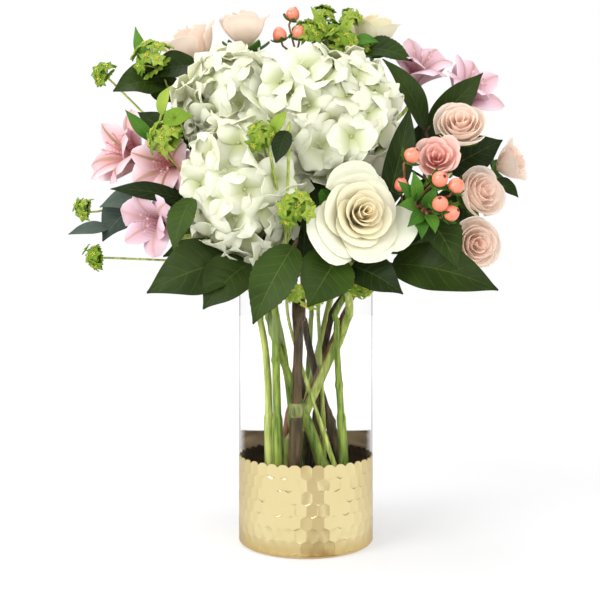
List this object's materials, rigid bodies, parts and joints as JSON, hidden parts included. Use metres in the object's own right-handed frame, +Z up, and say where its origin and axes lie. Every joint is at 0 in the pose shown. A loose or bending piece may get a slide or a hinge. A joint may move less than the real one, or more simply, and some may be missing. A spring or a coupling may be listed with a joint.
{
  "type": "floral table centerpiece",
  "caption": "Table centrepiece of hydrangeas, roses, alstroemeria, berries and foliage in a clear cylinder vase with a gilt hammered foot.",
  "frame": {"origin": "middle of the flat underside of the vase's gilt foot, on which it stands", "axes": "+Z up along the vase's axis; +X to the right and +Y to the back, seen from the arrangement's front"},
  "size_m": [0.3417, 0.2413, 0.4088],
  "materials": {
    "clear_glass": "clear, polished",
    "gilt_metal": "hammered and polished, pale gold",
    "clear_water": "clear",
    "green_stem": "satin",
    "coral_berry": "glossy",
    "lime_bract": "satin",
    "dark_leaf": "satin, veined",
    "grey_leaf": "matt",
    "white_sepal": "soft",
    "cream_petal": "soft",
    "blush_petal": "soft",
    "pink_tepal": "soft"
  },
  "bodies": {
    "root": {"glass_vase": "clear_glass", "gilt_foot": "gilt_metal", "water": "clear_water", "hydrangea_low_stem": "green_stem", "hydrangea_top_stem": "green_stem", "hydrangea_right_stem": "green_stem", "white_rose_stem": "green_stem", "spray_rose_right_stem": "green_stem", "spray_rose_top_stem": "green_stem", "spray_rose_back_stem": "green_stem", "alstroemeria_left_stem": "green_stem", "alstroemeria_right_stem": "green_stem", "hypericum_right_stem": "coral_berry", "hypericum_top_stem": "coral_berry", "bupleurum_left_stem": "lime_bract", "bupleurum_front_stem": "lime_bract", "bupleurum_top_stem": "lime_bract", "salal_left_stem": "dark_leaf", "salal_right_stem": "dark_leaf", "salal_back_stem": "dark_leaf", "eucalyptus_stem": "grey_leaf", "hydrangea_low_head": "white_sepal", "hydrangea_top_head": "white_sepal", "hydrangea_right_head": "white_sepal", "white_rose_bloom": "cream_petal", "spray_rose_right_a": "blush_petal", "spray_rose_right_b": "blush_petal", "spray_rose_right_c": "blush_petal", "spray_rose_right_d": "blush_petal", "spray_rose_right_e": "blush_petal", "spray_rose_top_a": "blush_petal", "spray_rose_top_b": "blush_petal", "spray_rose_top_c": "blush_petal", "spray_rose_back_a": "blush_petal", "spray_rose_back_b": "blush_petal", "alstroemeria_left_a": "pink_tepal", "alstroemeria_left_b": "pink_tepal", "alstroemeria_left_c": "pink_tepal", "alstroemeria_left_d": "pink_tepal", "alstroemeria_right_a": "pink_tepal", "alstroemeria_right_b": "pink_tepal", "alstroemeria_right_c": "pink_tepal"}
  },
  "joints": []
}
